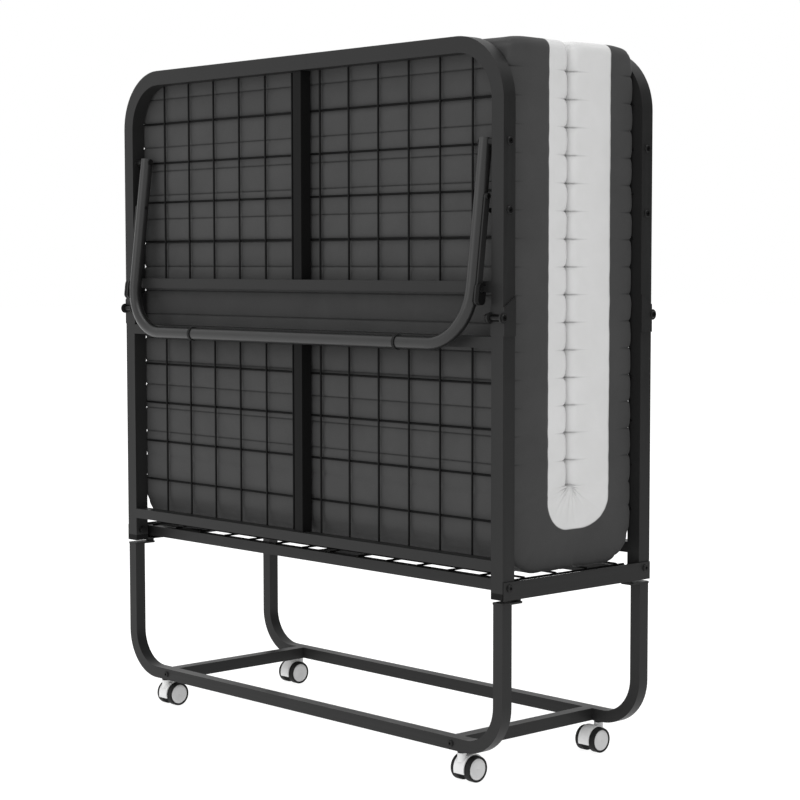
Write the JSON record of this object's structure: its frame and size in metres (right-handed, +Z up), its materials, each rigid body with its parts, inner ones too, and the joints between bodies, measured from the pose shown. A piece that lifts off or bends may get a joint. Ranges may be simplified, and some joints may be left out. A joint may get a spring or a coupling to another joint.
{
  "type": "folding cot",
  "caption": "Rollaway guest bed folded upright: hinged mesh wings hold a quilted mattress over a tube base on twin-wheel casters.",
  "frame": {"origin": "on the floor under the middle of the folded cot", "axes": "+X along the cot's width, +Y from the front wing to the back wing, +Z up"},
  "size_m": [0.9752, 0.4082, 1.1395],
  "materials": {
    "frame": "satin",
    "hardware": "gloss",
    "plastic": "satin",
    "rubber": "matte",
    "mattress": "matte",
    "wheel": "satin",
    "caster_hood": "satin"
  },
  "bodies": {
    "base": {"base_loop_front": "frame", "base_loop_back": "frame", "spreader_left": "frame", "spreader_right": "frame", "spreader_bolts": "hardware", "mount_plates": "frame", "end_rail_left": "frame", "end_rail_right": "frame", "cross_tubes": "frame", "centre_bar": "frame", "centre_mesh": "frame", "mattress_centre": "mattress", "pivot_bolts": "hardware", "caster_stems": "hardware"},
    "front_wing": {"front_lower_sides": "frame", "front_lower_rails": "frame", "front_lower_mesh": "frame", "front_upper_hoop": "frame", "front_upper_rail": "frame", "front_upper_mesh": "frame", "front_centre_bars": "frame", "front_knuckle_plates": "frame", "front_knuckle_bolts": "hardware", "front_pivot_bushes": "plastic", "front_end_caps": "plastic", "front_leg_bolts": "hardware", "front_mattress": "mattress"},
    "front_leg": {"front_leg_hoop": "frame", "front_foot_rings": "rubber", "front_strut_pins": "hardware"},
    "front_struts": {"front_brace_struts": "frame", "front_strut_latches": "plastic"},
    "back_wing": {"back_lower_sides": "frame", "back_lower_rails": "frame", "back_lower_mesh": "frame", "back_upper_hoop": "frame", "back_upper_rail": "frame", "back_upper_mesh": "frame", "back_centre_bars": "frame", "back_knuckle_plates": "frame", "back_knuckle_bolts": "hardware", "back_pivot_bushes": "plastic", "back_end_caps": "plastic", "back_leg_bolts": "hardware", "back_mattress": "mattress"},
    "back_leg": {"back_leg_hoop": "frame", "back_foot_rings": "rubber", "back_strut_pins": "hardware"},
    "back_struts": {"back_brace_struts": "frame", "back_strut_latches": "plastic"},
    "caster_front_left": {"caster_front_left_housing": "caster_hood"},
    "wheels_front_left": {"caster_front_left_wheels": "wheel"},
    "caster_front_right": {"caster_front_right_housing": "caster_hood"},
    "wheels_front_right": {"caster_front_right_wheels": "wheel"},
    "caster_back_left": {"caster_back_left_housing": "caster_hood"},
    "wheels_back_left": {"caster_back_left_wheels": "wheel"},
    "caster_back_right": {"caster_back_right_housing": "caster_hood"},
    "wheels_back_right": {"caster_back_right_wheels": "wheel"}
  },
  "joints": [
    {"name": "front_wing_pivot", "type": "hinge", "parent": "base", "child": "front_wing", "pos_m": [0, -0.155, 0.3125], "axis": [1, 0, 0], "range_deg": [0, 90]},
    {"name": "front_leg_pivot", "type": "hinge", "parent": "front_wing", "child": "front_leg", "pos_m": [0, -0.155, 0.98], "axis": [-1, 0, 0], "range_deg": [0, 92.85]},
    {"name": "front_strut_pivot", "type": "hinge", "parent": "front_leg", "child": "front_struts", "pos_m": [0, -0.16499, 0.89861], "axis": [-1, 0, 0], "range_deg": [-134.7, 0]},
    {"name": "back_wing_pivot", "type": "hinge", "parent": "base", "child": "back_wing", "pos_m": [0, 0.155, 0.3125], "axis": [-1, 0, 0], "range_deg": [0, 90]},
    {"name": "back_leg_pivot", "type": "hinge", "parent": "back_wing", "child": "back_leg", "pos_m": [0, 0.155, 0.98], "axis": [1, 0, 0], "range_deg": [0, 92.85]},
    {"name": "back_strut_pivot", "type": "hinge", "parent": "back_leg", "child": "back_struts", "pos_m": [0, 0.16499, 0.89861], "axis": [1, 0, 0], "range_deg": [-134.7, 0]},
    {"name": "front_left_swivel", "type": "hinge", "parent": "base", "child": "caster_front_left", "pos_m": [-0.385, -0.1566, 0.045], "axis": [0, 0, 1], "continuous": true},
    {"name": "front_left_roll", "type": "hinge", "parent": "caster_front_left", "child": "wheels_front_left", "pos_m": [-0.385, -0.1421, 0.0204], "axis": [1, 0, 0], "continuous": true},
    {"name": "front_right_swivel", "type": "hinge", "parent": "base", "child": "caster_front_right", "pos_m": [0.385, -0.1566, 0.045], "axis": [0, 0, 1], "continuous": true},
    {"name": "front_right_roll", "type": "hinge", "parent": "caster_front_right", "child": "wheels_front_right", "pos_m": [0.385, -0.1421, 0.0204], "axis": [1, 0, 0], "continuous": true},
    {"name": "back_left_swivel", "type": "hinge", "parent": "base", "child": "caster_back_left", "pos_m": [-0.385, 0.1566, 0.045], "axis": [0, 0, 1], "continuous": true},
    {"name": "back_left_roll", "type": "hinge", "parent": "caster_back_left", "child": "wheels_back_left", "pos_m": [-0.385, 0.1421, 0.0204], "axis": [1, 0, 0], "continuous": true},
    {"name": "back_right_swivel", "type": "hinge", "parent": "base", "child": "caster_back_right", "pos_m": [0.385, 0.1566, 0.045], "axis": [0, 0, 1], "continuous": true},
    {"name": "back_right_roll", "type": "hinge", "parent": "caster_back_right", "child": "wheels_back_right", "pos_m": [0.385, 0.1421, 0.0204], "axis": [1, 0, 0], "continuous": true}
  ],
  "couplings": [
    {"joint": "front_strut_pivot", "follows": "front_leg_pivot", "ratio": -1.4506},
    {"joint": "back_strut_pivot", "follows": "back_leg_pivot", "ratio": -1.4506}
  ]
}
